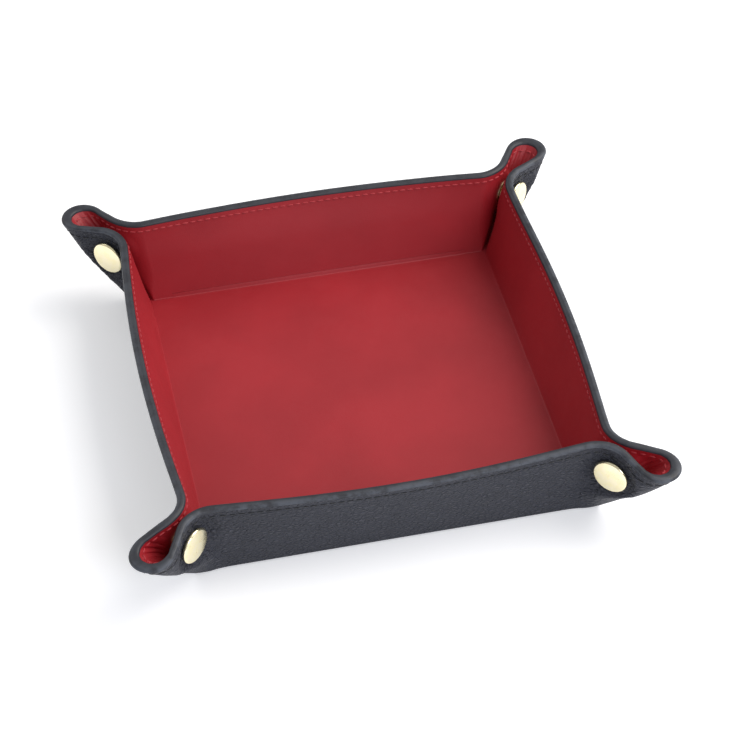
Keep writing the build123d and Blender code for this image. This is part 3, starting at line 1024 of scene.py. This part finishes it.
# %% Lay stitches along a guide
def lay_stitches(name, points, pitch, length, thickness, material):
    """One piece of thread along a guide line, all sizes in metres."""
    mesh = bpy.data.meshes.new(name + " guide")
    mesh.from_pydata([tuple(p) for p in points], [(i, i + 1) for i in range(len(points) - 1)], [])
    guide = bpy.data.objects.new(name + " guide", mesh)
    bpy.context.scene.collection.objects.link(guide)
    modifier = guide.modifiers.new("stitches", "NODES")
    modifier.node_group = STITCHES
    values = {"Pitch": pitch, "Length": length, "Thickness": thickness, "Thread": material}
    for item in STITCHES.interface.items_tree:
        if item.in_out == "INPUT" and item.name in values:
            modifier[item.identifier] = values[item.name]
    bpy.context.view_layer.update()
    graph = bpy.context.evaluated_depsgraph_get()
    laid = bpy.data.meshes.new_from_object(guide.evaluated_get(graph))
    laid.name = name
    obj = bpy.data.objects.new(name, laid)
    bpy.context.scene.collection.objects.link(obj)
    bpy.data.objects.remove(guide)
    return obj


def stitch_line(corner, side, wall, depth, drop, lift):
    """The guide line: the outline at a height under the rim, lifted off the leather's face."""
    z = RIM - drop
    here, above = (half_row(corner, side, wall, depth, h) for h in (z, z + 0.5))
    normal = np.cross(np.gradient(here, axis=0), above - here)
    normal /= np.linalg.norm(normal, axis=1, keepdims=True)
    sign = 1 if depth == 0 else -1
    return here + facing(normal, 4, here[4] * (sign, sign, 0)) * lift * MM


print("ready to stitch")

# %% Lay the thread
# depth, height under the rim and lift off the face in mm; pitch, length and thickness in metres
THREADS = {"lining": (SHEET, LINING_DROP, 0.06, (0.0027, 0.0021, 0.00030), RED_THREAD, "lining"),
           "outer": (0.0, OUTER_DROP, 0.05, (0.0029, 0.0023, 0.00030), NAVY_THREAD,
                     "outer_leather")}
for layer, (depth, drop, lift, sizes, material, slot) in THREADS.items():
    for corner, side, wall in halves:
        stem = f"{corner}_{wall}"
        points = stitch_line(corner, side, wall, depth, drop, lift)
        bend_points, loop_points = points[WALL_END:TAPER_MIDDLE + 1], points[TAPER_MIDDLE:LAST + 1]
        bend = lay_stitches(f"{stem}_bend_{layer}_thread", bend_points, *sizes, material)
        loop = lay_stitches(f"{stem}_loop_{layer}_thread", loop_points, *sizes, material)
        blend_at(bend, corner, side, wall, "bend", *BEND_TURN)
        blend_at(loop, corner, side, wall, "loop", *LOOP_TURN)
    for wall in WALLS:
        ends = [(c, s) for c, s, w in halves if w == wall]
        lines = [stitch_line(c, s, wall, depth, drop, lift)[:WALL_END + 1] for c, s in ends]
        run = np.concatenate([lines[0][::-1], lines[1][1:]])
        straight = lay_stitches(f"{wall}_wall_{layer}_thread", run, *sizes, material)
        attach(straight, f"{wall}_wall")
print("threads laid")

# %% [markdown]
# ## Studio
# A white sweep, one large soft key from the upper right, a weaker fill and a low rim light. The
# camera stands where the photograph's did: the fit of the tray's edges gave its place.

# %% Camera
AIM = Vector((5.96, -4.03, 13.75)) * MM
AZIMUTH, ELEVATION, ROLL, DISTANCE = radians(-12.4), radians(43.7), radians(-0.30), 0.844
LENS, SENSOR = 117.8, 36.0
back = Vector((sin(AZIMUTH) * cos(ELEVATION), -cos(AZIMUTH) * cos(ELEVATION), sin(ELEVATION)))
camera = bpy.data.objects.new("camera", bpy.data.cameras.new("camera"))
camera.data.lens = LENS
camera.data.sensor_width = SENSOR
camera.location = AIM + back * DISTANCE
camera.rotation_euler = back.to_track_quat("Z", "Y").to_euler()
camera.rotation_euler.rotate_axis("Z", ROLL)
bpy.context.scene.collection.objects.link(camera)
bpy.context.scene.camera = camera
print("camera at", [round(c, 3) for c in camera.location])

# %% Paper sweep
PAPER_LIFT = 0.34    # the paper is printed lighter than it was lit
SWEEP_TOP, SWEEP_SAG = -0.0002, 0.003   # the paper sinks a little beyond the tray's foot
SWEEP_HELD, SWEEP_EASE = 0.097, 0.045


def stage_floor():
    """A round of white paper, lifted a little for the eye of the camera alone."""
    material, tree = new_material("white paper sweep")
    path = add_node(tree, "ShaderNodeLightPath").outputs
    rays = {0: path["Is Camera Ray"], 1: path["Is Glossy Ray"]}
    seen = add_node(tree, "ShaderNodeMath", {}, rays, operation="MAXIMUM")
    strength = add_node(tree, "ShaderNodeMath", {1: PAPER_LIFT}, {0: seen.outputs[0]},
                        operation="MULTIPLY")
    paper = add_node(tree, "ShaderNodeBsdfDiffuse", {"Color": hex_colour("#f1f2f6")})
    glow = add_node(tree, "ShaderNodeEmission", {"Color": hex_colour("#ffffff")},
                    {"Strength": strength.outputs[0]})
    both = add_node(tree, "ShaderNodeAddShader", {}, {0: paper.outputs[0], 1: glow.outputs[0]})
    add_node(tree, "ShaderNodeOutputMaterial", {}, {"Surface": both.outputs[0]})
    radii = list(np.linspace(0, 0.14, 40)) + [0.3, 1.0, 4.0]
    turns = np.linspace(0, 2 * pi, 97)
    fall = [SWEEP_TOP - SWEEP_SAG * fade(r, (SWEEP_HELD, SWEEP_EASE)) for r in radii]
    grid = np.array([[(r * cos(t), r * sin(t), z) for t in turns] for r, z in zip(radii, fall)])
    normals = np.zeros_like(grid)
    normals[:, :, 2] = 1
    obj = piece_from("sweep", [(grid, normals)], material)


stage_floor()
print("paper laid")

# %% Lights
# place and size in metres, power in watts, colour
LIGHTS = {"key": ((0.9, 0.12, 1.0), (1.0, 1.0), 15.0, "#fffaf2"),
          "fill": ((0.5, -1.1, 0.75), (0.8, 0.6), 7.0, "#f2f5ff"),
          "back": ((-0.75, 0.95, 1.0), (0.8, 0.8), 2.6, "#ffffff")}
SKY_STRENGTH = 0.45


def area_light(name, place, size, power, colour):
    """A rectangular lamp that faces the tray."""
    data = bpy.data.lights.new(name, "AREA")
    data.shape = "RECTANGLE"
    data.size, data.size_y = size
    data.energy = power
    data.color = hex_colour(colour)[:3]
    lamp = bpy.data.objects.new(name, data)
    lamp.location = place
    lamp.rotation_euler = Vector(place).to_track_quat("Z", "Y").to_euler()
    bpy.context.scene.collection.objects.link(lamp)


for name, light in LIGHTS.items():
    area_light(name, *light)
world = bpy.data.worlds.new("studio")
bpy.context.scene.world = world
world.use_nodes = True
world.node_tree.nodes.clear()
sky = add_node(world.node_tree, "ShaderNodeBackground",
               {"Color": hex_colour("#ffffff"), "Strength": SKY_STRENGTH})
add_node(world.node_tree, "ShaderNodeOutputWorld", {}, {"Surface": sky.outputs[0]})
bpy.context.scene.view_settings.view_transform = "Standard"
print("studio lit")
